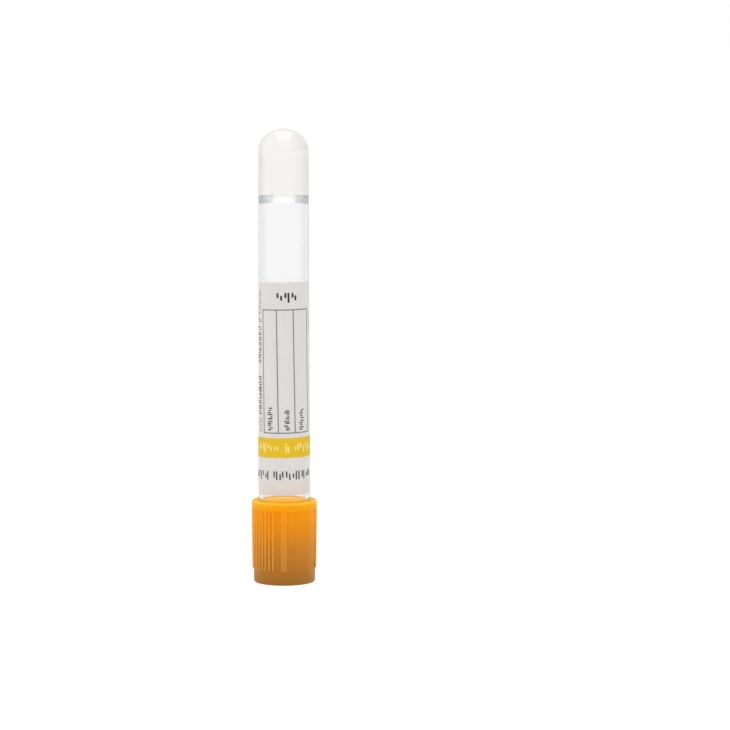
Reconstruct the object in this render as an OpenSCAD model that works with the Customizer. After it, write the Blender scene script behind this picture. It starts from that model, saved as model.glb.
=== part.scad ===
// Blood collection tube with separating gel, label and two-piece closure.
// It stands on its cap with the closed end up. The origin is on the axis at the cap's outer
// face and +Z runs to the closed end. Angles round the axis count from the front (-Y),
// positive towards +X. All sizes are in millimetres and degrees.

/* [Tube] */
// Outside diameter at the open mouth
tube_d = 12.65; // [10:0.05:16]
// How much narrower the closed end is than the mouth, across the diameter
tube_taper = 0.45; // [0:0.05:0.8]
// Length from the mouth to the closed end
tube_len = 103; // [75:1:130]
// Thickness of the wall
tube_wall = 1; // [0.7:0.05:1.3]
// Length of the straight stretch of bore that the stopper seals in
seal_len = 8; // [7.5:0.5:14]
// Height of the rounded closed end
dome_h = 5.25; // [4:0.05:7]
// Diameter of the moulding gate's mark on the closed end
gate_d = 2; // [1:0.1:3]
// Height of the gate's mark
gate_h = 0.12; // [0.05:0.01:0.3]

/* [Gel] */
// Depth of the gel, from the closed end to its free surface
gel_depth = 15.85; // [9:0.05:30]
// How far the gel's edge creeps along the wall
creep_h = 2.3; // [0.5:0.1:4]
// How far in from the wall the creeping edge starts
creep_w = 2.2; // [0.5:0.1:3.5]

/* [Label] */
// Length of the label along the tube
label_len = 51.8; // [20:0.05:58]
// Distance from the mouth to the label
label_from_mouth = 14.4; // [13:0.05:20]
// Thickness of the label
label_t = 0.09; // [0.05:0.01:0.2]
// Width of the bare strip between the label's two side edges
label_gap = 2; // [1:0.1:15]

/* [Stopper] */
// How far the flange stands out past the tube's outside, on each side
flange_over = 0.575; // [0.45:0.005:0.9]
// Thickness of the flange
flange_t = 5; // [3.5:0.1:6.5]
// Length of the plug inside the tube
plug_len = 5.9; // [4.5:0.1:7]
// Diameter of the needle well
well_d = 6; // [4:0.1:7.2]
// Diameter of the well's flared mouth
well_mouth_d = 7.3; // [7.3:0.05:8.4]
// Depth of the needle well
well_depth = 4.8; // [2.5:0.1:5.9]
// Diameter of the hollow in the plug's end
hollow_d = 5; // [3:0.1:6]
// Thickness of the septum that the needle goes through
septum_t = 3; // [2:0.1:3.6]
// Height of the four crescent nubs on the outer face
nub_h = 0.35; // [0.2:0.05:0.6]

/* [Cap] */
// Length of the cap
cap_h = 20.2; // [16:0.1:26]
// Thickness of the end wall
cap_end_t = 2.2; // [1.2:0.1:3]
// Thickness of the side wall at the stopper
cap_wall = 0.6; // [0.5:0.05:1]
// Growth of the side wall's radius from the end wall to the collar
cap_draft = 0.15; // [0:0.01:0.3]
// Growth of the skirt's inside radius from the stopper to the mouth's flare
skirt_draft = 0.1; // [0:0.01:0.2]
// Diameter of the needle port in the end wall
port_d = 8.4; // [7.5:0.1:9]
// Height of the plain band between the end face and the ribs
band_h = 3.4; // [1.5:0.1:6]
// Height of the collar round the mouth
collar_h = 2.2; // [1.5:0.1:4]
// How far the collar stands out past the ribs' crests
collar_step = 0.03; // [0.02:0.01:0.2]
// Thickness of the collar's lip
lip_t = 0.69; // [0.6:0.01:0.9]
// How far the grip ribs stand out from the drafted side wall
rib_h = 0.3; // [0.15:0.01:0.5]
// Width of a fine rib's crest
rib_w = 0.42; // [0.2:0.01:0.6]
// Angle between fine ribs
rib_pitch = 7.6; // [6.5:0.1:9]
// Number of fine ribs in each of the two fields
rib_count = 12; // [4:1:14]
// Angle from a wide strip to the first fine rib beside it
rib_start = 19.5; // [10:0.1:40]
// Width of the two wide strips
strip_w = 1.28; // [0.8:0.01:2]

/* [Fits] */
// Radial clearance of the plug in the bore
plug_fit = 0.03; // [0.01:0.01:0.1]
// Radial clearance of the flange in the cap
flange_fit = 0.05; // [0.01:0.01:0.1]
// Axial clearance of the flange under the retaining ridge
ridge_fit = 0.05; // [0.02:0.01:0.2]
// Radial clearance of the tube inside the retaining ridge
ridge_clear = 0.3; // [0.15:0.01:0.4]
// Thickness of the label's glue, and of the film between gel and wall
film_t = 0.02; // [0.01:0.01:0.05]

/* [Hidden] */
$fn = 96;
arc_steps = 6;      // straight steps in a small rounded edge
dome_steps = 18;    // straight steps in a quarter of the closed end
overlap = 0.3;      // how deep joined shapes run into each other

// Heights of the seats, from the end face up
face_z = cap_end_t + nub_h;         // stopper's outer face
rim_z = face_z + flange_t;          // tube's mouth on the flange
plug_z = rim_z + plug_len;          // plug's free end
seal_z = rim_z + seal_len;          // end of the straight bore
top_z = rim_z + tube_len;           // closed end
dome_z = top_z - dome_h;            // start of the rounded closed end

// Tube
mouth_r = tube_d / 2;
end_r = mouth_r - tube_taper / 2;
seal_r = mouth_r - tube_wall;
rim_round = 0.3;                    // rounding of the mouth's two edges

// Gel
gel_z = top_z - gel_depth;          // free surface
creep_z = gel_z - creep_h;          // edge of the gel on the wall
creep_edge = 0.15;                  // thickness of that edge

// Label
label_z = rim_z + label_from_mouth;
label_angle = 360 - label_gap / wall_r(label_z) * 180 / PI;

// Stopper
plug_r = seal_r - plug_fit;
flange_r = mouth_r + flange_over;
flange_round = 0.3;
plug_round = 0.8;
well_flare_h = 1.2;                 // height of the well's rounded mouth
well_round = 0.5;
hollow_taper = 0.2;                 // how much narrower the hollow is at the septum
nub_d = 1.9;                        // length of a crescent nub
nub_w = 0.5;                        // width of a crescent nub
nub_in = 1.3;                       // distance from the flange's edge to a nub's centre

// Cap
seat_r = flange_r + flange_fit;
base_r = seat_r + cap_wall;
wall_top_r = base_r + cap_draft;
crest_r = wall_top_r + rib_h;
collar_r = crest_r + collar_step;
collar_z = cap_h - collar_h;
collar_slope = 0.25;                // height of the collar's sloped underside
base_round = 0.6;
seat_round = 0.25;
port_chamfer = 0.4;
skirt_r = seat_r + skirt_draft;     // inside of the skirt where the mouth's flare starts
flare_h = 1.7;                      // height of that flare
ridge_r = mouth_r + ridge_clear;
ridge_z = rim_z + ridge_fit;
ridge_lead = 0.15;                  // height of the ridge's sloped underside
ridge_land = 0.45;                  // height of its straight crest
ridge_slope = 0.9;                  // height of the slope that the flange snaps past
rib_chamfer = 0.3;
root_extra = 0.3;                   // how much wider a rib is where it meets the wall
plain_side = -45;                   // where the revolved wall starts: on its plain side

// Radius of the cap's plain side wall at height z
function cap_r(z) = base_r + cap_draft * (z - base_round) / (collar_z - base_round);

// Radius of the tube's outer wall at height z
function wall_r(z) = mouth_r - (mouth_r - end_r) * (z - rim_z) / (dome_z - rim_z);

// Radius of the tube's bore at height z, past the straight stretch
function bore_r(z) = seal_r - (seal_r - end_r + tube_wall) * (z - seal_z) / (dome_z - seal_z);

// Points of a quarter ellipse about [x, z] from angle a0 to angle a1
function curve(x, z, rx, rz, a0, a1, steps = arc_steps) =
    [for (i = [0:steps]) let (a = a0 + (a1 - a0) * i / steps) [x + rx * cos(a), z + rz * sin(a)]];

// Clear moulded tube, open at the stopper and rounded at the other end
module tube() {
    profile = concat(
        curve(mouth_r - rim_round, rim_z + rim_round, rim_round, rim_round, -90, 0),
        curve(0, dome_z, end_r, dome_h, 0, 90, dome_steps),
        curve(0, dome_z, end_r - tube_wall, dome_h - tube_wall, 90, 0, dome_steps),
        [[seal_r, seal_z]],
        curve(seal_r + rim_round, rim_z + rim_round, rim_round, rim_round, 180, 270)
    );
    color("aliceblue", 0.4) {
        rotate_extrude() polygon(profile);
        translate([0, 0, top_z - overlap]) cylinder(d = gate_d, h = overlap + gate_h);
    }
}

// Separating gel in the closed end, with an edge that creeps along the wall
module gel() {
    wall_in = bore_r(creep_z) - film_t;
    dome_r = end_r - tube_wall - film_t;
    profile = concat(
        [[0, gel_z]],
        curve(wall_in - creep_w, creep_z, creep_w - creep_edge, creep_h, 90, 0),
        [[wall_in, creep_z]],
        curve(0, dome_z, dome_r, dome_h - tube_wall - film_t, 0, 90, dome_steps)
    );
    color("ivory") rotate_extrude() polygon(profile);
}

// Paper label glued round the tube, with a bare strip at the back
module label() {
    low_r = wall_r(label_z) + film_t;
    high_r = wall_r(label_z + label_len) + film_t;
    color("whitesmoke")
        rotate([0, 0, 90 + (360 - label_angle) / 2])
            rotate_extrude(angle = label_angle)
                polygon([
                    [low_r, label_z],
                    [low_r + label_t, label_z],
                    [high_r + label_t, label_z + label_len],
                    [high_r, label_z + label_len]
                ]);
}

// One crescent nub on the flange's outer face, its horns towards the well
module nub() {
    translate([flange_r - nub_in, 0, cap_end_t])
        difference() {
            cylinder(d = nub_d, h = nub_h + overlap);
            translate([-nub_w, 0, -overlap]) cylinder(d = nub_d, h = nub_h + 3 * overlap);
        }
}

// Rubber stopper: flange, plug, needle well, septum and hollow
module stopper() {
    septum_z = face_z + well_depth;
    hollow_z = septum_z + septum_t;
    profile = concat(
        curve(flange_r - flange_round, face_z + flange_round, flange_round, flange_round, -90, 0),
        curve(flange_r - flange_round, rim_z - flange_round, flange_round, flange_round, 0, 90),
        [[plug_r, rim_z]],
        curve(plug_r - plug_round, plug_z - plug_round, plug_round, plug_round, 0, 90),
        [[hollow_d / 2, plug_z], [hollow_d / 2 - hollow_taper, hollow_z], [0, hollow_z]],
        [[0, septum_z]],
        curve(well_d / 2 - well_round, septum_z - well_round, well_round, well_round, 90, 0),
        curve(well_mouth_d / 2, face_z + well_flare_h,
            (well_mouth_d - well_d) / 2, well_flare_h, 180, 270)
    );
    color("dimgray") {
        rotate_extrude() polygon(profile);
        for (a = [0:90:270]) rotate([0, 0, a]) nub();
    }
}

// Bar along the cap's side at angle a from the front, tapering from root to crest
module rib_bar(a, crest_w) {
    root_w = crest_w + root_extra;
    rotate([0, 0, a - 90])
        linear_extrude(height = cap_h)
            polygon([
                [base_r - overlap, -root_w / 2],
                [base_r, -root_w / 2],
                [crest_r + overlap, -crest_w / 2],
                [crest_r + overlap, crest_w / 2],
                [base_r, root_w / 2],
                [base_r - overlap, root_w / 2]
            ]);
}

// Grip ribs with the wall's draft: a wide strip and a field of fine ribs, on each side
module ribs() {
    intersection() {
        rotate([0, 0, plain_side]) rotate_extrude() polygon([
            [base_r - overlap, band_h],
            [cap_r(band_h) + rib_h - rib_chamfer, band_h],
            [cap_r(band_h + rib_chamfer) + rib_h, band_h + rib_chamfer],
            [cap_r(collar_z + overlap) + rib_h, collar_z + overlap],
            [base_r - overlap, collar_z + overlap]
        ]);
        for (side = [0, 180]) {
            rib_bar(side, strip_w);
            for (i = [0:rib_count - 1])
                rib_bar(side - rib_start - i * rib_pitch, rib_w);
        }
    }
}

// Moulded cap: end wall with needle port, stopper seat, retaining ridge, skirt and ribs
module cap() {
    lip_r = lip_t / 2;
    profile = concat(
        [[port_d / 2 + port_chamfer, 0]],
        curve(base_r - base_round, base_round, base_round, base_round, -90, 0),
        [[wall_top_r, collar_z], [collar_r, collar_z + collar_slope]],
        curve(collar_r - lip_r, cap_h - lip_r, lip_r, lip_r, 0, 180, 2 * arc_steps),
        [[skirt_r, cap_h - lip_r - flare_h]],
        [[seat_r, ridge_z + ridge_lead + ridge_land + ridge_slope]],
        [[ridge_r, ridge_z + ridge_lead + ridge_land], [ridge_r, ridge_z + ridge_lead]],
        [[seat_r, ridge_z]],
        curve(seat_r - seat_round, cap_end_t + seat_round, seat_round, seat_round, 0, -90),
        [[port_d / 2, cap_end_t], [port_d / 2, port_chamfer]]
    );
    color("darkorange") {
        rotate([0, 0, plain_side]) rotate_extrude() polygon(profile);
        ribs();
    }
}

cap();
stopper();
tube();
gel();
label();
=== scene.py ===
"""Looks of the blood collection tube: tube, gel, printed label, moulded cap and rubber stopper.

It stands on its cap, closed end up, as the CAD model does. Lengths are in millimetres unless a
comment says otherwise, and are turned into metres where the meshes are made. Angles round the
axis count from the front (-Y), positive towards +X.
"""
import math
import random

import bpy
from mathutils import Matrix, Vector


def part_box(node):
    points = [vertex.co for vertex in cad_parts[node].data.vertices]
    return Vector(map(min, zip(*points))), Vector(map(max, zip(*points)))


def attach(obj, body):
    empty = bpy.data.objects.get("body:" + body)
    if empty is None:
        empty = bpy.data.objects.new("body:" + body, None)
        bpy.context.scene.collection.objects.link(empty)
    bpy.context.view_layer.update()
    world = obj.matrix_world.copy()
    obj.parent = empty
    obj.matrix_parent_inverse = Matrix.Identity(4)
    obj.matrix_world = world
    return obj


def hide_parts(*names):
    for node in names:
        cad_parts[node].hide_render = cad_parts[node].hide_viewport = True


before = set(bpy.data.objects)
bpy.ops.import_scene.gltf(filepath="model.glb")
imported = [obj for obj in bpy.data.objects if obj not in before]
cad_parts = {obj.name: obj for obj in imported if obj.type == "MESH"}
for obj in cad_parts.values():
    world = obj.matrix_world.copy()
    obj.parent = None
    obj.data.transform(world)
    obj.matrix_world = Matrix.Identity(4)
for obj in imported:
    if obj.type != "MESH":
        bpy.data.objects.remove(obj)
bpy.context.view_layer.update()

MM = 0.001


def box_mm(node):
    """Lowest and highest corner of a CAD node, in millimetres."""
    low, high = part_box(node)
    return low / MM, high / MM


CAP_HIGH = box_mm("cap")[1]
STOPPER_LOW, STOPPER_HIGH = box_mm("stopper")
TUBE_LOW, TUBE_HIGH = box_mm("tube")
GEL_LOW, GEL_HIGH = box_mm("gel")
LABEL_LOW, LABEL_HIGH = box_mm("label")
CAP_TOP = CAP_HIGH.z

# ---------------------------------------------------------------- camera

CAMERA_PLACE = (19.7, -788.6, 131.1)
CAMERA_TILT = 5.645          # degrees below the horizon
SENSOR = 36.0
FIELD_OF_VIEW = 12.78        # degrees across the picture
SIGHT = (0.05, 20)           # nearest and farthest that it sees, in metres


def make_camera():
    """The scene's camera, in front of the object and a little above it."""
    camera = bpy.data.objects.new("camera", bpy.data.cameras.new("camera"))
    camera.location = [c * MM for c in CAMERA_PLACE]
    camera.rotation_euler = (math.radians(90 - CAMERA_TILT), 0, 0)
    camera.data.sensor_width = SENSOR
    camera.data.lens = SENSOR / 2 / math.tan(math.radians(FIELD_OF_VIEW / 2))
    camera.data.clip_start, camera.data.clip_end = SIGHT
    bpy.context.scene.collection.objects.link(camera)
    bpy.context.scene.camera = camera


make_camera()

# ---------------------------------------------------------------- meshes


def arc(x, z, rx, rz, start, end, steps):
    """Points of an elliptical arc about (x, z), from one angle to another."""
    angles = [math.radians(start + (end - start) * i / steps) for i in range(steps + 1)]
    return [(x + rx * math.cos(a), z + rz * math.sin(a)) for a in angles]


def line(start, end, steps):
    """Points between two ends, without the first one."""
    return [(start[0] + (end[0] - start[0]) * i / steps,
             start[1] + (end[1] - start[1]) * i / steps) for i in range(1, steps + 1)]


def straights(corners):
    """Points along straight stretches, without the first one; corners are (point, steps)."""
    found = []
    for (here, _), (there, steps) in zip(corners, corners[1:]):
        found += line(here, there, steps)
    return found


def smooth(t):
    """Goes from 0 to 1 as t does, level at both ends."""
    t = min(1.0, max(0.0, t))
    return t * t * (3 - 2 * t)


def around(radius, angle, z):
    """A point at an angle from the front, in metres."""
    a = math.radians(angle)
    return (radius * math.sin(a) * MM, -radius * math.cos(a) * MM, z * MM)


def make_piece(name, points, faces, material, body, sharp=35.0):
    """A mesh object that rides a body, smooth but for edges sharper than the given angle."""
    mesh = bpy.data.meshes.new(name)
    mesh.from_pydata(points, [], faces)
    mesh.materials.append(material)
    mesh.shade_smooth()
    mesh.set_sharp_from_angle(angle=math.radians(sharp))
    mesh.validate()
    piece = bpy.data.objects.new(name, mesh)
    bpy.context.scene.collection.objects.link(piece)
    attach(piece, body)
    return piece


def join(points, faces, more_points, more_faces):
    """Adds the points and faces of one more shell to the lists of a mesh."""
    faces += [tuple(i + len(points) for i in f) for f in more_faces]
    points += more_points


def ring_faces(rows, columns, close_rows=True):
    """Quads of a grid that closes round its columns, and round its rows if asked."""
    faces = []
    for i in range(rows if close_rows else rows - 1):
        here, there = i * columns, (i + 1) % rows * columns
        for j in range(columns):
            k = (j + 1) % columns
            faces.append((here + j, here + k, there + k, there + j))
    return faces


def revolve(profile, segments):
    """Points and faces of a revolved outline, counter-clockwise in (r, z) with the axis at left.

    An outline that starts on the axis ends there too, and is closed by a pole at each end. Any
    other is a closed loop.
    """
    on_axis = profile[0][0] == 0
    rows = profile[1:-1] if on_axis else profile
    points = []
    for r, z in rows:
        points += [around(r, 360 * j / segments, z) for j in range(segments)]
    faces = ring_faces(len(rows), segments, close_rows=not on_axis)
    if on_axis:
        low, high = len(points), len(points) + 1
        points += [(0, 0, profile[0][1] * MM), (0, 0, profile[-1][1] * MM)]
        last = (len(rows) - 1) * segments
        for j in range(segments):
            k = (j + 1) % segments
            faces.append((k, j, low))
            faces.append((last + j, last + k, high))
    return points, faces


# ---------------------------------------------------------------- node helpers


def new_material(name):
    """A node material, its tree and its Principled shader."""
    material = bpy.data.materials.new(name)
    material.use_nodes = True
    shader = material.node_tree.nodes["Principled BSDF"]
    return material, material.node_tree, shader


def add(tree, kind, **values):
    """A new node; values are set on its inputs by name, or on the node itself."""
    node = tree.nodes.new(kind)
    for key, value in values.items():
        if hasattr(node, key):
            setattr(node, key, value)
        else:
            node.inputs[key.replace("_", " ")].default_value = value
    return node


def noise(tree, scale, detail=3.0):
    """Noise fixed to the object; scale is in features per millimetre."""
    where = tree.nodes.new("ShaderNodeTexCoord")
    node = add(tree, "ShaderNodeTexNoise", Scale=scale / MM, Detail=detail)
    tree.links.new(where.outputs["Object"], node.inputs["Vector"])
    return node.outputs["Fac"]


def spread(tree, fac, low, high):
    """Turns a 0 to 1 value into one between low and high."""
    node = add(tree, "ShaderNodeMapRange", To_Min=low, To_Max=high)
    tree.links.new(fac, node.inputs["Value"])
    return node.outputs["Result"]


def ramp(tree, fac, stops):
    """Colours along a 0 to 1 value; stops are (place, (r, g, b))."""
    node = tree.nodes.new("ShaderNodeValToRGB")
    stop_list = node.color_ramp.elements
    while len(stop_list) < len(stops):
        stop_list.new(0.5)
    for element, (place, colour) in zip(stop_list, stops):
        element.position = place
        element.color = (*colour, 1)
    tree.links.new(fac, node.inputs["Fac"])
    return node.outputs["Color"]


def height(tree, low, high):
    """0 at one height of the object to 1 at another, both in millimetres."""
    where = tree.nodes.new("ShaderNodeTexCoord")
    split = tree.nodes.new("ShaderNodeSeparateXYZ")
    node = add(tree, "ShaderNodeMapRange", From_Min=low * MM, From_Max=high * MM)
    tree.links.new(where.outputs["Object"], split.inputs["Vector"])
    tree.links.new(split.outputs["Z"], node.inputs["Value"])
    return node.outputs["Result"]


def from_axis(tree, low, high):
    """0 at one distance from the tube's axis to 1 at another, both in millimetres."""
    where = tree.nodes.new("ShaderNodeTexCoord")
    flat = add(tree, "ShaderNodeVectorMath", operation="MULTIPLY")
    flat.inputs[1].default_value = (1, 1, 0)
    size = add(tree, "ShaderNodeVectorMath", operation="LENGTH")
    node = add(tree, "ShaderNodeMapRange", From_Min=low * MM, From_Max=high * MM)
    tree.links.new(where.outputs["Object"], flat.inputs[0])
    tree.links.new(flat.outputs["Vector"], size.inputs[0])
    tree.links.new(size.outputs["Value"], node.inputs["Value"])
    return node.outputs["Result"]


def both(tree, first, second):
    """Product of two 0 to 1 values."""
    node = add(tree, "ShaderNodeMath", operation="MULTIPLY")
    tree.links.new(first, node.inputs[0])
    tree.links.new(second, node.inputs[1])
    return node.outputs[0]


def either(tree, fac, first, second):
    """The first value where fac is 0, and the second, a value or a float, where it is 1."""
    node = tree.nodes.new("ShaderNodeMapRange")
    tree.links.new(fac, node.inputs["Value"])
    tree.links.new(first, node.inputs["To Min"])
    if isinstance(second, float):
        node.inputs["To Max"].default_value = second
    else:
        tree.links.new(second, node.inputs["To Max"])
    return node.outputs["Result"]


def bump(tree, shader, fac, depth, strength=1.0):
    """Bump of a depth in millimetres on the shader's normal."""
    node = add(tree, "ShaderNodeBump", Strength=strength, Distance=depth * MM)
    tree.links.new(fac, node.inputs["Height"])
    tree.links.new(node.outputs["Normal"], shader.inputs["Normal"])


def tint(tree, fac, dark, light):
    """A colour that wanders between two near ones."""
    return ramp(tree, fac, [(0.3, dark), (0.7, light)])


# ---------------------------------------------------------------- materials


CAP_PASSES = 0.9             # share of the light that gets through each face of the cap
CREST_SHARE = 0.7            # how high up a rib its crest's paler colour, a painted highlight, starts
COLOUR_EDGE = 0.1            # how far the change from wall to crest colour reaches
LIP_PALE_H = 1.7             # height over which the skirt's inside pales towards the lip, a painted highlight


def amber(name, colour, wander, glow):
    """Amber moulded plastic.

    colour makes its base colour in the material's tree, wander is how far light goes in it, and
    glow stands in for light that comes through from its other face.
    """
    material, tree, shader = new_material(name)
    tree.links.new(colour(tree), shader.inputs["Base Color"])
    shader.inputs["Subsurface Weight"].default_value = 1.0
    shader.inputs["Subsurface Radius"].default_value = (1.0, 0.60, 0.20)
    shader.inputs["Subsurface Scale"].default_value = wander * MM
    shader.inputs["Specular IOR Level"].default_value = 0.1
    shader.inputs["Emission Color"].default_value = (1.0, 0.28, 0.0, 1)
    shader.inputs["Emission Strength"].default_value = glow
    tree.links.new(spread(tree, noise(tree, 1.2), 0.26, 0.36), shader.inputs["Roughness"])
    bump(tree, shader, noise(tree, 4.0), 0.004)
    let_lamps_through(tree, shader, CAP_PASSES, (1.0, 0.66, 0.20))
    return material


def outer_amber(tree):
    """Browner towards the end face, painted shade of the dark stopper behind the wall; yellower
    towards the collar; a painted highlight on the lip's top, and on the ribs, paler at their feet.
    """
    place = height(tree, 0, CAP_TOP)
    # painted shade: the wall darkens towards the end face; the last two stops are the lip's painted
    # highlight
    wall = ramp(tree, place, [
        (0.00, (0.36, 0.172, 0.024)),
        (0.20, (0.49, 0.200, 0.024)),
        (0.42, (0.58, 0.234, 0.020)),
        (0.62, (0.71, 0.275, 0.009)),
        (0.86, (0.80, 0.325, 0.004)),
        (0.91, (0.83, 0.355, 0.003)),
        (0.983, (0.86, 0.430, 0.005)),
        (0.995, (1.00, 0.540, 0.070)),
    ])
    # painted highlight: rib crests paler towards their feet, with the lip's painted highlight at
    # the top
    crest = ramp(tree, place, [
        (0.15, (0.53, 0.265, 0.040)),
        (0.42, (0.62, 0.278, 0.030)),
        (0.62, (0.72, 0.305, 0.020)),
        (0.86, (0.80, 0.335, 0.012)),
        (0.91, (0.83, 0.355, 0.003)),
        (0.983, (0.86, 0.430, 0.005)),
        (0.995, (1.00, 0.540, 0.070)),
    ])
    mix = add(tree, "ShaderNodeMix", data_type="RGBA")
    low_crest = BASE_R + RIB_H * CREST_SHARE
    tree.links.new(from_axis(tree, low_crest, low_crest + COLOUR_EDGE), mix.inputs["Factor"])
    tree.links.new(wall, mix.inputs[6])
    tree.links.new(crest, mix.inputs[7])
    return mix.outputs[2]


def skirt_amber(tree):
    """Painted glow: the inside of the skirt is coloured as if lit by light through the wall, and
    paler at the lip as a painted highlight.
    """
    return ramp(tree, height(tree, CAP_TOP - LIP_PALE_H, CAP_TOP), [
        (0.0, (1.0, 0.31, 0.008)),
        (0.5, (1.0, 0.36, 0.024)),
        (1.0, (1.0, 0.78, 0.48)),
    ])


def stopper_material():
    """Dark grey rubber, matt with a faint bloom."""
    material, tree, shader = new_material("stopper_grey_rubber")
    tree.links.new(tint(tree, noise(tree, 1.5), (0.062, 0.067, 0.080), (0.082, 0.088, 0.103)),
                   shader.inputs["Base Color"])
    tree.links.new(spread(tree, noise(tree, 2.5), 0.48, 0.62), shader.inputs["Roughness"])
    shader.inputs["Sheen Weight"].default_value = 0.15
    bump(tree, shader, noise(tree, 8.0), 0.006)
    return material


def let_lamps_through(tree, shader, share=1.0, colour=(1.0, 1.0, 1.0)):
    """Lets a share of the light from lamps and matt surfaces pass as if nothing were there."""
    path = tree.nodes.new("ShaderNodeLightPath")
    passing = add(tree, "ShaderNodeMath", operation="MAXIMUM")
    passed = add(tree, "ShaderNodeMapRange", To_Max=share)
    through = add(tree, "ShaderNodeBsdfTransparent", Color=(*colour, 1))
    mix = tree.nodes.new("ShaderNodeMixShader")
    tree.links.new(path.outputs["Is Shadow Ray"], passing.inputs[0])
    tree.links.new(path.outputs["Is Diffuse Ray"], passing.inputs[1])
    tree.links.new(passing.outputs[0], passed.inputs["Value"])
    tree.links.new(passed.outputs["Result"], mix.inputs["Fac"])
    tree.links.new(shader.outputs[0], mix.inputs[1])
    tree.links.new(through.outputs["BSDF"], mix.inputs[2])
    tree.links.new(mix.outputs["Shader"], tree.nodes["Material Output"].inputs["Surface"])


def absorb(tree, colour, density):
    """Light that crosses a clear material takes on its colour."""
    volume = add(tree, "ShaderNodeVolumeAbsorption", Color=(*colour, 1), Density=density)
    tree.links.new(volume.outputs["Volume"], tree.nodes["Material Output"].inputs["Volume"])


RIM_FACING = (0.74, 0.88)    # how edge on plastic is seen where its painted grey outline starts, and is full
RIM_SHARE = 0.55             # share of painted dark reflection in the outline of the tube's side
RIM_DOME = 0.5               # how much of that share the dome's outline gets
RIM_GREY = (0.45, 0.46, 0.46)
RIM_MARGIN = 0.1             # keeps the bore clear of the grey
GEL_SHADE = 0.8              # painted shade: how far the gel's sides are darkened, seen edge on through the wall


def grey_rim(tree, shader, grazing):
    """Painted dark reflection: the outline of clear plastic, seen edge on, turns grey; the bore's
    doesn't.
    """
    share = add(tree, "ShaderNodeMapRange", From_Min=RIM_FACING[0], From_Max=RIM_FACING[1],
                To_Max=RIM_SHARE)
    grey = add(tree, "ShaderNodeBsdfTransparent", Color=(*RIM_GREY, 1))
    mix = tree.nodes.new("ShaderNodeMixShader")
    tree.links.new(grazing.outputs["Facing"], share.inputs["Value"])
    outside = add(tree, "ShaderNodeMath", operation="MAXIMUM")
    bore, skin = MOUTH_R - WALL + RIM_MARGIN, END_R - 2 * RIM_MARGIN
    side = from_axis(tree, bore, skin)
    dome = spread(tree, height(tree, DOME_Z, DOME_Z + 2 * RIM_MARGIN), 0.0, RIM_DOME)
    tree.links.new(side, outside.inputs[0])
    tree.links.new(dome, outside.inputs[1])
    tree.links.new(both(tree, share.outputs["Result"], outside.outputs[0]), mix.inputs["Fac"])
    tree.links.new(shader.outputs["BSDF"], mix.inputs[1])
    tree.links.new(grey.outputs["BSDF"], mix.inputs[2])
    return mix


def tube_material():
    """Clear polyester with a faint grey body colour; a painted dark reflection makes it greyer
    where it is seen edge on, and painted shade darkens the gel's sides seen through it.
    """
    material, tree, shader = new_material("tube_clear_plastic")
    grazing = add(tree, "ShaderNodeLayerWeight", Blend=0.5)
    # painted dark reflection: greyer where the plastic is seen edge on
    edge = ramp(tree, grazing.outputs["Facing"], [
        (0.00, (1.0, 1.0, 1.0)),
        (0.25, (1.0, 1.0, 1.0)),
        (0.45, (0.92, 0.925, 0.925)),
        (0.70, (0.84, 0.845, 0.845)),
        (0.85, (0.70, 0.71, 0.71)),
    ])
    # painted shade on the gel's sides, put into the wall's colour where it is seen edge on
    beside_gel = both(tree, height(tree, GEL_Z, GEL_Z + 0.3), height(tree, DOME_Z, DOME_Z - 2.0))
    gel_side_shade = spread(tree, both(tree, beside_gel, grazing.outputs["Facing"]), 1.0, GEL_SHADE)
    shade = add(tree, "ShaderNodeVectorMath", operation="SCALE")
    tree.links.new(edge, shade.inputs["Vector"])
    tree.links.new(gel_side_shade, shade.inputs["Scale"])
    tree.links.new(shade.outputs["Vector"], shader.inputs["Base Color"])
    shader.inputs["Transmission Weight"].default_value = 1.0
    shader.inputs["IOR"].default_value = 1.57
    shader.inputs["Roughness"].default_value = 0.0
    bump(tree, shader, noise(tree, 0.15, 1.0), 0.01)
    let_lamps_through(tree, grey_rim(tree, shader, grazing))
    absorb(tree, (0.80, 0.80, 0.80), 200.0)
    return material


def gel_material():
    """Milky separating gel."""
    material, tree, shader = new_material("gel_milky")
    tree.links.new(tint(tree, noise(tree, 0.5), (0.970, 0.955, 0.910), (0.980, 0.965, 0.920)),
                   shader.inputs["Base Color"])
    shader.inputs["Subsurface Weight"].default_value = 0.3
    shader.inputs["Subsurface Radius"].default_value = (1.0, 0.95, 0.85)
    shader.inputs["Subsurface Scale"].default_value = 0.5 * MM
    shader.inputs["Roughness"].default_value = 0.25
    bump(tree, shader, noise(tree, 0.8), 0.02)
    return material


EDGE_GLOW = 0.04             # stands in for light that the clear gel gathers


def clear_gel(name, colour):
    """Clear gel; colour makes the colour of its surface in the material's tree."""
    material, tree, shader = new_material(name)
    tree.links.new(colour(tree), shader.inputs["Base Color"])
    shader.inputs["Transmission Weight"].default_value = 1.0
    shader.inputs["IOR"].default_value = 1.15
    shader.inputs["Roughness"].default_value = 0.05
    shader.inputs["Emission Color"].default_value = (1, 1, 1, 1)
    shader.inputs["Emission Strength"].default_value = EDGE_GLOW
    let_lamps_through(tree, shader)
    return material


def wedge_colour(tree):
    """Painted shade and highlight: white face on, grey to the sides, by how edge on the gel is
    seen.
    """
    grazing = add(tree, "ShaderNodeLayerWeight", Blend=0.5)
    return ramp(tree, grazing.outputs["Facing"], [
        (0.000, (1.00, 1.00, 1.00)),
        (0.020, (1.00, 1.00, 1.00)),
        (0.035, (0.93, 0.95, 0.95)),
        (0.052, (0.75, 0.78, 0.79)),
        (0.075, (0.63, 0.66, 0.67)),
        (0.125, (0.50, 0.53, 0.54)),
        (0.210, (0.46, 0.49, 0.50)),
        (0.350, (0.53, 0.56, 0.56)),
    ])


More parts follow.
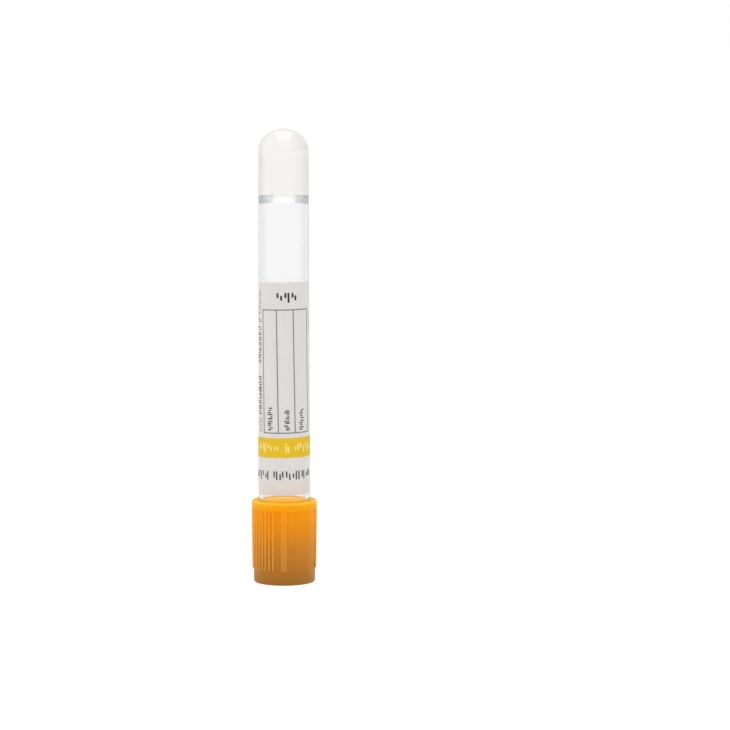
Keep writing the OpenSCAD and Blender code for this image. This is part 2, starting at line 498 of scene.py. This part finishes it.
def face_colour(tree):
    """Nearly white, with a faint wander."""
    return tint(tree, noise(tree, 0.5), (0.985, 0.99, 0.99), (1.0, 1.0, 1.0))


PAPER_PASSES = 0.8           # share of the light that gets through the label's paper
PAPER_WANDER = 0.15          # how far light goes in it
FOOT_H = 5.0                 # height over which the paper takes on painted orange light from the cap
GUM_GLOW = 0.12              # stands in for light that comes through to the gummed face


def paper_material(name, low, high, foot, glow=0.0):
    """Satin label paper with a fine fibre mottle between two colours, and a third at its foot,
    painted orange light from the cap.

    glow stands in for light that comes through from the other face.
    """
    material, tree, shader = new_material(name)
    mottle = tint(tree, noise(tree, 2.0, 5.0), low, high)
    colour = add(tree, "ShaderNodeMix", data_type="RGBA")
    colour.inputs[6].default_value = (*foot, 1)
    tree.links.new(height(tree, LABEL_LOW.z, LABEL_LOW.z + FOOT_H), colour.inputs["Factor"])
    tree.links.new(mottle, colour.inputs[7])
    tree.links.new(colour.outputs[2], shader.inputs["Base Color"])
    shader.inputs["Subsurface Weight"].default_value = 1.0
    shader.inputs["Subsurface Radius"].default_value = (1.0, 1.0, 1.0)
    shader.inputs["Subsurface Scale"].default_value = PAPER_WANDER * MM
    shader.inputs["Emission Color"].default_value = (1, 1, 1, 1)
    shader.inputs["Emission Strength"].default_value = glow
    tree.links.new(spread(tree, noise(tree, 3.0), 0.42, 0.55), shader.inputs["Roughness"])
    bump(tree, shader, noise(tree, 9.0, 5.0), 0.003)
    let_lamps_through(tree, shader, PAPER_PASSES)
    return material


def ink_material(name, colour):
    """Printing ink that has soaked a little into the paper."""
    material, tree, shader = new_material(name)
    pale = [min(1.0, c * 1.15 + 0.01) for c in colour]
    tree.links.new(tint(tree, noise(tree, 6.0, 4.0), colour, pale), shader.inputs["Base Color"])
    shader.inputs["Roughness"].default_value = 0.5
    shader.inputs["Specular IOR Level"].default_value = 0.25
    bump(tree, shader, noise(tree, 9.0, 5.0), 0.003)
    return material


# ---------------------------------------------------------------- cap

BASE_R = 7.55                # wall at the end face
WALL_TOP_R = 7.70            # wall at the collar
EDGE_ROUND = 0.6             # round of the end face's edge
COLLAR_R = min(CAP_HIGH.x, CAP_HIGH.y)
COLLAR_H = 2.2
COLLAR_Z = CAP_TOP - COLLAR_H
COLLAR_STEP = 0.25           # height of the slope under the collar
COLLAR_ROWS = (0.3, 0.12)    # how far under it the wall's last rows of points are
LIP_R = 0.345                # round of the collar's lip
FLARE_H = 1.7                # height over which the skirt flares towards the lip
SKIRT_R = 7.05
SKIRT_EDGE_R = 7.34          # lip's inner edge; the inside with its painted glow reaches from the ridge to it
RIDGE_R = 6.625              # ridge that holds the stopper's flange
RIDGE_Z = TUBE_LOW.z + 0.05
RIDGE_SLOPE = 0.15           # height of its slope towards the flange
RIDGE_H = 0.45               # height of its straight part
RIDGE_RUN = 0.9              # height of the cone from the ridge up to the skirt
SEAT_R = 6.95                # the stopper's seat
SEAT_ROUND = 0.25
END_T = STOPPER_LOW.z        # thickness of the end wall
PORT_R = 4.2                 # needle port
PORT_CHAMFER = 0.4
BAND_H = 3.4                 # plain band under the ribs
BAND_ROWS = (1.2, 2.0, 2.8, 3.25)    # heights of its rows of points
RIB_H = 0.3                  # how far the ribs stand out from the wall
RIB_CHAMFER = 0.3            # height of the slope at the ribs' feet
CHAMFER_STEPS = 8
STRIP_W = 1.28               # crest of the two wide strips, in front and at the back
RIB_W = 0.42                 # crest of a rib
ROOT_EXTRA = 0.3             # how much wider a rib is at its root
FLANK_EASE = 0.04            # how far a flank's smooth foot and top reach past its edges
FLANK_STEPS = 6
RIB_START = 19.5             # degrees from a strip to the first rib of its field
RIB_PITCH = 7.6              # degrees from rib to rib
RIB_COUNT = 12
WALL_STEP = 1.6              # widest step between the wall's columns, in degrees


def rib_list():
    """(angle, crest width) of every strip and rib round the cap."""
    found = []
    for side in (0, 180):
        found.append((side, STRIP_W))
        for i in range(RIB_COUNT):
            found.append(((side - RIB_START - i * RIB_PITCH) % 360, RIB_W))
    return sorted(found)


RIBS = rib_list()


def flank(crest):
    """Distances from a rib's middle to the root and to the top of its flank."""
    return (crest + ROOT_EXTRA) / 2 + FLANK_EASE, crest / 2 - FLANK_EASE


def rib_share(angle):
    """How high the rib surface is at an angle, from 0 at the wall to 1 on a crest."""
    share = 0.0
    for centre, crest in RIBS:
        off = abs((angle - centre + 180) % 360 - 180)
        distance = math.radians(off) * BASE_R
        root, top = flank(crest)
        share = max(share, smooth((root - distance) / (root - top)))
    return share


def cap_angles():
    """Angles of the cap's columns: close together over each rib's flanks, wider on plain wall."""
    angles = set()
    for centre, crest in RIBS:
        root, top = flank(crest)
        steps = [top + (root - top) * i / FLANK_STEPS for i in range(FLANK_STEPS + 1)]
        for s in (*steps, top * 0.5):
            for side in (-1, 1):
                angles.add(round((centre + side * math.degrees(s / BASE_R)) % 360, 4))
        angles.add(round(centre % 360, 4))
    ordered = sorted(angles)
    filled = []
    for here, there in zip(ordered, ordered[1:] + [ordered[0] + 360]):
        parts = max(1, math.ceil((there - here) / WALL_STEP))
        filled += [here + (there - here) * i / parts for i in range(parts)]
    return filled


def wall_r(z):
    """Radius of the drafted wall at a height."""
    return BASE_R + (WALL_TOP_R - BASE_R) * (z - EDGE_ROUND) / (COLLAR_Z - EDGE_ROUND)


def cap_profile():
    """The cap's section, from the port round the outside, over the lip and back inside."""
    def wall(z):
        """The drafted wall's point at a height."""
        return (wall_r(z), z)

    port_edge = (PORT_R + PORT_CHAMFER, 0)
    face_r = BASE_R - EDGE_ROUND
    lip_z = CAP_TOP - LIP_R
    ridge_top = RIDGE_Z + RIDGE_SLOPE + RIDGE_H
    outline = [port_edge] + line(port_edge, (face_r, 0), 6)
    outline += arc(face_r, EDGE_ROUND, EDGE_ROUND, EDGE_ROUND, -90, 0, 12)[1:]
    outline += [wall(z) for z in BAND_ROWS]
    outline += [wall(BAND_H + RIB_CHAMFER * i / CHAMFER_STEPS) for i in range(CHAMFER_STEPS + 1)]
    outline += straights([
        (wall(BAND_H + RIB_CHAMFER), 0),
        (wall(COLLAR_Z - COLLAR_ROWS[0]), 12),
        (wall(COLLAR_Z - COLLAR_ROWS[1]), 1),
        (wall(COLLAR_Z), 1),
        ((COLLAR_R, COLLAR_Z + COLLAR_STEP), 4),
        ((COLLAR_R, lip_z), 5),
    ])
    outline += arc(COLLAR_R - LIP_R, lip_z, LIP_R, LIP_R, 0, 180, 20)[1:]
    outline += straights([
        ((COLLAR_R - 2 * LIP_R, lip_z), 0),
        ((SKIRT_R, lip_z - FLARE_H), 4),
        ((SEAT_R, ridge_top + RIDGE_RUN), 6),
        ((RIDGE_R, ridge_top), 3),
        ((RIDGE_R, RIDGE_Z + RIDGE_SLOPE), 2),
        ((SEAT_R, RIDGE_Z), 2),
        ((SEAT_R, END_T + SEAT_ROUND), 3),
    ])
    outline += arc(SEAT_R - SEAT_ROUND, END_T + SEAT_ROUND, SEAT_ROUND, SEAT_ROUND, 0, -90, 6)[1:]
    outline += straights([
        ((SEAT_R - SEAT_ROUND, END_T), 0),
        ((PORT_R, END_T), 3),
        ((PORT_R, PORT_CHAMFER), 3),
        (port_edge, 3),
    ])[:-1]
    return outline


def make_cap():
    """The cap: its section goes round the axis, pushed out where ribs and strips are."""
    angles = cap_angles()
    shares = [rib_share(a) for a in angles]
    points = []
    for r, z in cap_profile():
        outside = BAND_H <= z <= COLLAR_Z + COLLAR_STEP and r > BASE_R
        rise = smooth((z - BAND_H) / RIB_CHAMFER) if outside else 0.0
        for angle, share in zip(angles, shares):
            lift = rise * share * max(0.0, wall_r(z) + RIB_H - r)
            points.append(around(r + lift, angle, z))
    rows = len(points) // len(angles)
    outer = amber("cap_amber_plastic", outer_amber, wander=1.5, glow=0.0)
    cap = make_piece("cap_moulding", points, ring_faces(rows, len(angles)), outer,
                     "cap_body")
    # the skirt's inside: painted glow, by a bright colour and an emission
    cap.data.materials.append(amber("cap_amber_skirt", skirt_amber, wander=8.0, glow=0.12))
    for polygon in cap.data.polygons:
        middle = polygon.center
        if middle.z > RIDGE_Z * MM and math.hypot(middle.x, middle.y) < SKIRT_EDGE_R * MM:
            polygon.material_index = 1
    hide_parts("cap")


# ---------------------------------------------------------------- stopper

NUB_H = 0.35                 # crescent nubs on the flange's outer face
NUB_PLACE = 5.6              # distance from the axis
NUB_SIZE = 0.95              # radius of a nub's outer arc
NUB_SHIFT = 0.5              # how far in its hollow arc lies
NUB_ROOT = 0.2               # how deep it goes into the flange
NUB_ROUND = (0.05, 0.08)     # slope of its top edge: share of its width, and height
FACE_Z = STOPPER_LOW.z + NUB_H
RIM_Z = TUBE_LOW.z
PLUG_Z = STOPPER_HIGH.z
FLANGE_R = STOPPER_HIGH.x
FLANGE_ROUND = 0.3
PLUG_R = 5.295
PLUG_ROUND = 0.8
WELL_R = 3.0                 # needle well
WELL_ROUND = 0.5
WELL_FLARE = (0.65, 1.2)     # width and height of the flare at its mouth
WELL_DEPTH = 4.8
SEPTUM_T = 3.0
HOLLOW_R = (2.5, 2.3)        # hollow behind the septum, at its mouth and its end
ROUND_STEPS = 192            # points round the stopper and the gel


def stopper_profile():
    """The stopper's section, from the well out over the flange and the plug to the hollow."""
    septum_z = FACE_Z + WELL_DEPTH
    hollow_z = septum_z + SEPTUM_T
    flare_w, flare_h = WELL_FLARE
    flare_r = WELL_R + flare_w
    edge_r = FLANGE_R - FLANGE_ROUND
    low_z, high_z = FACE_Z + FLANGE_ROUND, RIM_Z - FLANGE_ROUND
    end_r = PLUG_R - PLUG_ROUND
    outline = [(0, septum_z)] + line((0, septum_z), (WELL_R - WELL_ROUND, septum_z), 4)
    outline += arc(WELL_R - WELL_ROUND, septum_z - WELL_ROUND, WELL_ROUND, WELL_ROUND, 90, 0, 8)[1:]
    outline += line((WELL_R, septum_z - WELL_ROUND), (WELL_R, FACE_Z + flare_h), 4)
    outline += arc(flare_r, FACE_Z + flare_h, flare_w, flare_h, 180, 270, 12)[1:]
    outline += line((flare_r, FACE_Z), (edge_r, FACE_Z), 6)
    outline += arc(edge_r, low_z, FLANGE_ROUND, FLANGE_ROUND, -90, 0, 8)[1:]
    outline += line((FLANGE_R, low_z), (FLANGE_R, high_z), 6)
    outline += arc(edge_r, high_z, FLANGE_ROUND, FLANGE_ROUND, 0, 90, 8)[1:]
    outline += line((edge_r, RIM_Z), (PLUG_R, RIM_Z), 3)
    outline += line((PLUG_R, RIM_Z), (PLUG_R, PLUG_Z - PLUG_ROUND), 6)
    outline += arc(end_r, PLUG_Z - PLUG_ROUND, PLUG_ROUND, PLUG_ROUND, 0, 90, 10)[1:]
    outline += straights([
        ((end_r, PLUG_Z), 0),
        ((HOLLOW_R[0], PLUG_Z), 4),
        ((HOLLOW_R[1], hollow_z), 5),
        ((0, hollow_z), 4),
    ])
    return outline


def make_stopper(material):
    """The stopper, with a nub at each quarter of its flange."""
    points, faces = revolve(stopper_profile(), ROUND_STEPS)
    for a in (0, 90, 180, 270):
        join(points, faces, *crescent(a))
    stopper = make_piece("stopper_rubber", points, faces, material, "stopper_body")
    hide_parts("stopper")


def crescent(angle):
    """A crescent nub on the flange's outer face, its horns towards the well."""
    steps = 16
    horn = math.degrees(math.acos(NUB_SHIFT / 2 / NUB_SIZE))
    rim = arc(0, 0, NUB_SIZE, NUB_SIZE, -horn, horn, steps)
    start = math.degrees(math.atan2(rim[-1][1], rim[-1][0] + NUB_SHIFT))
    outline = rim + arc(-NUB_SHIFT, 0, NUB_SIZE, NUB_SIZE, start, -start, steps)[1:-1]
    count = len(outline)
    points = []
    top_inset, top_h = NUB_ROUND
    for z, inset in ((FACE_Z + NUB_ROOT, 0.0), (STOPPER_LOW.z + top_h, 0.0),
                     (STOPPER_LOW.z, top_inset)):
        for x, y in outline:
            distance = NUB_PLACE + x * (1 - inset)
            side = y * (1 - inset)
            radius = math.hypot(distance, side)
            points.append(around(radius, angle + math.degrees(math.atan2(side, distance)), z))
    faces = []
    for i in range(2):
        for j in range(count):
            k = (j + 1) % count
            faces.append((i * count + k, i * count + j, (i + 1) * count + j, (i + 1) * count + k))
    # root and top face, closed by strips from horn to horn between the two arcs
    low = 2 * count
    for j in range(steps):
        a, b = j, j + 1
        c, d = (count - j) % count, count - j - 1
        if j == 0:
            faces.append((low + a, low + b, low + d)[::-1])
            faces.append((a, b, d))
        elif j == steps - 1:
            faces.append((low + a, low + b, low + c)[::-1])
            faces.append((a, b, c))
        else:
            faces.append((low + a, low + b, low + d, low + c)[::-1])
            faces.append((a, b, d, c))
    return points, faces


# ---------------------------------------------------------------- tube and gel

MOUTH_R = TUBE_HIGH.x        # outside of the tube at its mouth
END_R = 6.1                  # and where the dome starts
WALL = 1.0
SEAL_Z = RIM_Z + 8           # end of the straight bore that the plug seals in
GATE_H = 0.12                # the gate's low swelling on the closed end
GATE_R = 1.6
TOP_Z = TUBE_HIGH.z - GATE_H
DOME_H = 5.25
DOME_Z = TOP_Z - DOME_H
RIM_ROUND = 0.3
TUBE_STEPS = 256             # points round the tube
FILM = 0.02                  # gap that the CAD gel leaves to the wall


def tube_profile():
    """Outside of the tube, from its rim over the dome to the gate."""
    outline = [(MOUTH_R - RIM_ROUND, RIM_Z)]
    outline += arc(MOUTH_R - RIM_ROUND, RIM_Z + RIM_ROUND, RIM_ROUND, RIM_ROUND, -90, 0, 8)[1:]
    outline += line((MOUTH_R, RIM_Z + RIM_ROUND), (END_R, DOME_Z), 24)
    for r, z in arc(0, DOME_Z, END_R, DOME_H, 0, 89.5, 60)[1:]:
        outline.append((r, z + GATE_H * smooth((GATE_R - r) / GATE_R)))
    return outline


def make_tube(material):
    """The tube: its bore from the dome to the rim, then its outside back to the gate."""
    bore_r, round_z = MOUTH_R - WALL, RIM_Z + RIM_ROUND
    outline = [(0, TOP_Z - WALL)]
    outline += arc(0, DOME_Z, END_R - WALL, DOME_H - WALL, 90, 0, 40)[1:]
    outline += straights([
        ((END_R - WALL, DOME_Z), 0),
        ((bore_r, SEAL_Z), 20),
        ((bore_r, round_z), 6),
    ])
    outline += arc(bore_r + RIM_ROUND, round_z, RIM_ROUND, RIM_ROUND, 180, 270, 8)[1:]
    outline += tube_profile()
    outline += [(0, TOP_Z + GATE_H)]
    points, faces = revolve(outline, TUBE_STEPS)
    tube = make_piece("tube_clear", points, faces, material, "tube_body")
    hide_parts("tube")


WALL_CONTACT = 0.015         # how far the gel presses into the wall, so that no air shows
GEL_Z = TOP_Z - 16.1         # free surface, at its lowest
GEL_ARCH = 0.5               # how much higher it stands at the front and back than at the sides
GEL_WALL_R = GEL_HIGH.x + FILM + WALL_CONTACT
CREEP_Z = GEL_LOW.z          # edge of the clear gel that creeps along the wall
CREEP_W = 2.2                # its width
CREEP_T = 0.15               # its thickness at the edge
WALL_SKIN = 0.1              # thickness of its layer at the wall that has the painted grey seen from the side


def arched(points):
    """The gel's points, with its surface lifted at the front and back; the dome stays as it is."""
    lifted = []
    for x, y, z in points:
        share = min(1.0, max(0.0, (DOME_Z - z / MM) / (DOME_Z - GEL_Z)))
        lifted.append((x, y, z + GEL_ARCH * MM * share * (y / MM / GEL_WALL_R) ** 2))
    return lifted


def make_gel(material):
    """The milky gel, which fills the closed end."""
    dome_r = END_R - WALL + WALL_CONTACT
    outline = [(0, GEL_Z)]
    outline += straights([
        ((0, GEL_Z), 0),
        ((GEL_WALL_R, GEL_Z), 8),
        ((dome_r, DOME_Z), 10),
    ])
    outline += arc(0, DOME_Z, dome_r, DOME_H - WALL + WALL_CONTACT, 0, 90, 32)[1:]
    points, faces = revolve(outline, ROUND_STEPS)
    gel = make_piece("gel_plug", arched(points), faces, material, "tube_body")
    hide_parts("gel")


def make_meniscus():
    """The gel's thin clear edge, hollowed on the inside, that creeps down the wall."""
    top = GEL_Z + WALL_CONTACT
    inner_r = GEL_WALL_R - CREEP_W
    outline = line((inner_r, GEL_Z), (inner_r, top), 1)
    outline += arc(inner_r, CREEP_Z, CREEP_W - CREEP_T, GEL_Z - CREEP_Z, 90, 0, 24)
    outline += [(GEL_WALL_R, CREEP_Z)]
    outline += line((GEL_WALL_R, CREEP_Z), (GEL_WALL_R, top), 8)
    points, faces = revolve(outline, ROUND_STEPS)
    edge = clear_gel("gel_clear_edge", wedge_colour)
    ring = make_piece("gel_meniscus", arched(points), faces, edge, "tube_body")
    ring.data.materials.append(clear_gel("gel_clear_face", face_colour))
    for polygon in ring.data.polygons:
        middle = polygon.center
        if math.hypot(middle.x, middle.y) < (GEL_WALL_R - WALL_SKIN) * MM:
            polygon.material_index = 1
    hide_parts("gel")


# ---------------------------------------------------------------- label and print

LABEL_H = LABEL_HIGH.z - LABEL_LOW.z
LABEL_SKEW = 0.9             # degrees that the label is turned on the tube
LABEL_T = 0.09
LABEL_R = LABEL_HIGH.x       # outside radius at its lower edge
LABEL_TOP_R = 6.283          # and at its upper edge
LABEL_SINK = 0.03            # how far it presses into the wall, so that no air shows
PAPER_R = 6.34               # radius that its flat layout is wrapped at
PRINT_RISE = 0.015           # how far ink stands out from the paper
PRINT_SINK = 0.01            # and reaches into it
LABEL_GAP = 2.0              # bare strip between the label's side edges, at the back
LABEL_HALF = (2 * math.pi * PAPER_R - LABEL_GAP) / 2


def wrap(s, h, rise):
    """A point of the flat layout on the tube: s runs right from the front, h up from its foot."""
    turn = math.radians(LABEL_SKEW)
    up = h - LABEL_H / 2
    s_turned = s * math.cos(turn) - up * math.sin(turn)
    h_turned = s * math.sin(turn) + up * math.cos(turn) + LABEL_H / 2
    radius = LABEL_R + (LABEL_TOP_R - LABEL_R) * h_turned / LABEL_H
    return around(radius + rise, math.degrees(s_turned / PAPER_R), LABEL_LOW.z + h_turned)


def patch(s0, s1, h0, h1, low, high, step=0.25, tall=2.5):
    """Points and faces of a thin closed block of print or paper over a rectangle of the layout.

    It reaches from low to high over the paper's face. step and tall are its columns' and rows'
    greatest sizes.
    """
    columns = max(1, math.ceil((s1 - s0) / step))
    rows = max(1, math.ceil((h1 - h0) / tall))
    points = []
    for rise in (high, low):
        for i in range(rows + 1):
            for j in range(columns + 1):
                points.append(wrap(s0 + (s1 - s0) * j / columns, h0 + (h1 - h0) * i / rows, rise))
    across, layer = columns + 1, (rows + 1) * (columns + 1)
    faces = []
    for i in range(rows):
        for j in range(columns):
            a = i * across + j
            quad = (a, a + 1, a + across + 1, a + across)
            faces.append(quad)
            faces.append(tuple(layer + v for v in reversed(quad)))
    rim = list(range(across)) + [i * across + columns for i in range(1, rows + 1)]
    rim += [rows * across + j for j in range(columns - 1, -1, -1)]
    rim += [i * across for i in range(rows - 1, 0, -1)]
    for a, b in zip(rim, rim[1:] + rim[:1]):
        faces.append((b, a, a + layer, b + layer))
    return points, faces


def make_print(name, rectangles, material):
    """One piece of print made of many thin rectangles (s0, s1, h0, h1)."""
    points, faces = [], []
    for rectangle in rectangles:
        join(points, faces, *patch(*rectangle, -PRINT_SINK, PRINT_RISE))
    return make_piece(name, points, faces, material, "tube_body", sharp=30.0)


def make_label():
    """The label's paper: white in front; its gummed face against the tube is coloured brighter,
    painted light that comes through the paper.
    """
    points, faces = patch(-LABEL_HALF, LABEL_HALF, 0, LABEL_H, -LABEL_T - LABEL_SINK, 0.0,
                          step=0.15, tall=2.0)
    # foot colours: painted orange light from the cap
    front = paper_material("label_paper", low=(0.680, 0.665, 0.650), high=(0.710, 0.693, 0.676),
                           foot=(0.700, 0.640, 0.600))
    # the gum's bright colour and glow: painted light that comes through the paper
    gum = paper_material("label_gum", low=(0.97, 0.97, 0.965), high=(0.99, 0.99, 0.985),
                         foot=(0.98, 0.95, 0.90), glow=GUM_GLOW)
    label = make_piece("label_sheet", points, faces, front, "tube_body")
    label.data.materials.append(gum)
    for polygon in label.data.polygons:
        if polygon.center.dot(polygon.normal) < 0:
            polygon.material_index = 1
    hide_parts("label")


BOX = (-5.45, 7.05, 15.25, 45.1)    # the ruled box: left, right, low, high
COLUMN_LINES = (-1.4, 2.75)
LINE_W = 0.25
BAND = (9.2, 14.03)                 # heights of the yellow band
SIDE_ROW = -6.3                     # base line of the rows that climb beside the box


def ruled_lines():
    """Rectangles of the box's edges and its columns' lines."""
    left, right, low, high = BOX
    h = LINE_W / 2
    lines = [(s - h, s + h, low, high) for s in (left, *COLUMN_LINES, right)]
    lines += [(left - h, right + h, edge - h, edge + h) for edge in (low, high)]
    return lines


STROKE_HEIGHTS = (1.0, 0.72, 0.72, 0.5)      # these and the gaps are shares of a row's size
STROKE_STARTS = (0.0, 0.0, 0.28)
STROKE_GAP = (0.10, 0.2)
GROUP_GAP = 0.12
WIDE_GAP = 0.45


def tally(rng, s, h, reading, size, counts, weight):
    """A row of upright strokes in groups, where the object has a line of small print.

    s and h are the row's start on its base line, reading is "down" for a row that runs to the
    left with its base line on top, or "up" for one that climbs with its base line at the right.
    size is the height of its tallest strokes and weight the width of them all. counts is how many
    groups there are before each wide gap.
    """
    strokes = []
    along = 0.0
    for groups in counts:
        for _ in range(groups):
            for _ in range(rng.choice((2, 2, 3))):
                tall = size * rng.choice(STROKE_HEIGHTS)
                start = size * rng.choice(STROKE_STARTS) if tall < size else 0.0
                strokes.append((along, along + weight, start, min(size, start + tall)))
                along += weight + size * rng.uniform(*STROKE_GAP)
            along += size * GROUP_GAP
        along += size * WIDE_GAP
    turned = []
    for u0, u1, v0, v1 in strokes:
        if reading == "down":
            turned.append((s - u1, s - u0, h - v1, h - v0))
        else:
            turned.append((s - v1, s - v0, h + u0, h + u1))
    return turned


def dark_marks():
    """Strokes over the box, under the band, at the foot of each column and beside the box."""
    rng = random.Random(1855)
    marks = tally(rng, 3.65, 49.2, "down", size=2.35, counts=(3,), weight=0.48)
    marks += tally(rng, 7.6, 5.95, "down", size=2.1, counts=(6, 4), weight=0.34)
    for s, count in ((-2.85, 5), (1.35, 4), (5.3, 4)):
        marks += tally(rng, s, 15.9, "up", size=1.35, counts=(count,), weight=0.27)
    marks += tally(rng, SIDE_ROW, 19.65, "up", size=1.6, counts=(7,), weight=0.28)
    marks += tally(rng, SIDE_ROW, 32.15, "up", size=1.6, counts=(7, 1), weight=0.28)
    return marks


def faint_marks():
    """Lighter strokes over and under the dark ones beside the box, and small ones at its right."""
    rng = random.Random(5)
    marks = tally(rng, SIDE_ROW, 43.85, "up", size=1.6, counts=(5,), weight=0.2)
    marks += tally(rng, SIDE_ROW, 15.35, "up", size=1.6, counts=(3,), weight=0.2)
    marks += tally(rng, 8.2, 39.45, "up", size=0.4, counts=(10,), weight=0.14)
    return marks


def pale_marks():
    """Pale strokes on the band."""
    rng = random.Random(3)
    return tally(rng, 8.6, 12.65, "down", size=2.2, counts=(3, 1, 4, 4), weight=0.36)


def make_label_and_print():
    """The label with each kind of print in its own ink."""
    grey = ink_material("ink_grey", (0.16, 0.16, 0.17))
    yellow = ink_material("ink_yellow", (0.68, 0.44, 0.004))
    black = ink_material("ink_black", (0.03, 0.03, 0.034))
    faint = ink_material("ink_faint", (0.30, 0.30, 0.31))
    pale = ink_material("ink_pale", (0.90, 0.75, 0.30))
    make_label()
    make_print("print_lines", ruled_lines(), grey)
    make_print("print_band", [(-LABEL_HALF, LABEL_HALF, *BAND)], yellow)
    make_print("print_marks_dark", dark_marks(), black)
    make_print("print_marks_faint", faint_marks(), faint)
    make_print("print_marks_pale", pale_marks(), pale)


make_cap()
make_stopper(stopper_material())
make_tube(tube_material())
make_gel(gel_material())
make_meniscus()
make_label_and_print()

# ---------------------------------------------------------------- stage and light

SIDE_LIGHT = 0.66            # the room's light on matt surfaces, from the left and right
FRONT_LIGHT = 1.46           # and from straight in front and behind
LEFT_GLOSS = 0.8             # what gloss mirrors at the left
RIGHT_GLOSS = 0.0            # and at the right, where in front it is white
FLOOR_HALF = 6.0             # metres from the middle to each side
FLOOR_STEPS = 8
FLOOR_DROP = 0.02            # how far it lies under the cap
FLOOR_GREY = 0.93
FLOOR_GLOW = 0.6             # lifts it to white for the camera, but for the object's shadow


def make_world():
    """A white room to the eye. Its light is stronger from the front and back than the sides."""
    world = bpy.data.worlds.new("studio")
    bpy.context.scene.world = world
    world.use_nodes = True
    tree = world.node_tree
    background = tree.nodes["Background"]
    background.inputs["Color"].default_value = (1, 1, 1, 1)
    where = tree.nodes.new("ShaderNodeTexCoord")
    split = tree.nodes.new("ShaderNodeSeparateXYZ")
    tree.links.new(where.outputs["Generated"], split.inputs["Vector"])
    frontal = both(tree, split.outputs["Y"], split.outputs["Y"])
    light = spread(tree, frontal, SIDE_LIGHT, FRONT_LIGHT)
    side = add(tree, "ShaderNodeMapRange", From_Min=-1.0, To_Min=LEFT_GLOSS, To_Max=RIGHT_GLOSS)
    tree.links.new(split.outputs["X"], side.inputs["Value"])
    gloss = either(tree, frontal, side.outputs["Result"], 1.0)
    path = tree.nodes.new("ShaderNodeLightPath")
    seen = (("Is Glossy Ray", gloss), ("Is Transmission Ray", 1.0), ("Is Camera Ray", 1.0))
    for ray, level in seen:
        light = either(tree, path.outputs[ray], light, level)
    tree.links.new(light, background.inputs["Strength"])


def make_floor():
    """A pale floor that keeps the object's shadow; gloss and clear pieces show it white."""
    mesh = bpy.data.meshes.new("floor")
    places = [FLOOR_HALF * (2 * i / FLOOR_STEPS - 1) for i in range(FLOOR_STEPS + 1)]
    points = [(x, y, -FLOOR_DROP * MM) for y in places for x in places]
    row = FLOOR_STEPS + 1
    corners = [j * row + i for j in range(FLOOR_STEPS) for i in range(FLOOR_STEPS)]
    mesh.from_pydata(points, [], [(c, c + 1, c + row + 1, c + row) for c in corners])
    floor = bpy.data.objects.new("floor", mesh)
    bpy.context.scene.collection.objects.link(floor)
    material, tree, shader = new_material("floor_white")
    shader.inputs["Base Color"].default_value = (FLOOR_GREY, FLOOR_GREY, FLOOR_GREY, 1)
    shader.inputs["Roughness"].default_value = 1.0
    shader.inputs["Specular IOR Level"].default_value = 0.0
    shader.inputs["Emission Color"].default_value = (1, 1, 1, 1)
    path = tree.nodes.new("ShaderNodeLightPath")
    glow = spread(tree, path.outputs["Is Camera Ray"], 0.0, FLOOR_GLOW)
    tree.links.new(glow, shader.inputs["Emission Strength"])
    white = add(tree, "ShaderNodeEmission", Color=(1, 1, 1, 1), Strength=1.0)
    mix = tree.nodes.new("ShaderNodeMixShader")
    mirrored = add(tree, "ShaderNodeMath", operation="MAXIMUM")
    tree.links.new(path.outputs["Is Glossy Ray"], mirrored.inputs[0])
    tree.links.new(path.outputs["Is Transmission Ray"], mirrored.inputs[1])
    tree.links.new(mirrored.outputs[0], mix.inputs["Fac"])
    tree.links.new(shader.outputs["BSDF"], mix.inputs[1])
    tree.links.new(white.outputs["Emission"], mix.inputs[2])
    tree.links.new(mix.outputs["Shader"], tree.nodes["Material Output"].inputs["Surface"])
    mesh.materials.append(material)


AIM = (0, 0, 0.055)          # middle of the tube, in metres


def make_softbox(name, place, size, watts, shines=True):
    """A rectangular lamp that faces the tube, in metres; gloss mirrors it if it shines."""
    lamp = bpy.data.lights.new(name, "AREA")
    lamp.shape = "RECTANGLE"
    lamp.size, lamp.size_y = size
    lamp.energy = watts
    softbox = bpy.data.objects.new(name, lamp)
    softbox.location = place
    aim = Vector(AIM) - softbox.location
    softbox.rotation_euler = aim.to_track_quat("-Z", "Y").to_euler()
    softbox.visible_camera = False
    softbox.visible_transmission = False
    softbox.visible_glossy = shines
    bpy.context.scene.collection.objects.link(softbox)


make_world()
make_floor()
make_softbox("softbox_top", place=(0.0, 0.12, 0.9), size=(0.65, 1.2), watts=2.4)
make_softbox("softbox_left", place=(-0.58, -0.05, 0.20), size=(0.45, 0.7), watts=0.38)
make_softbox("softbox_right", place=(0.55, -0.05, 0.30), size=(0.25, 0.7), watts=0.25, shines=False)

bpy.context.scene.view_settings.view_transform = "Standard"
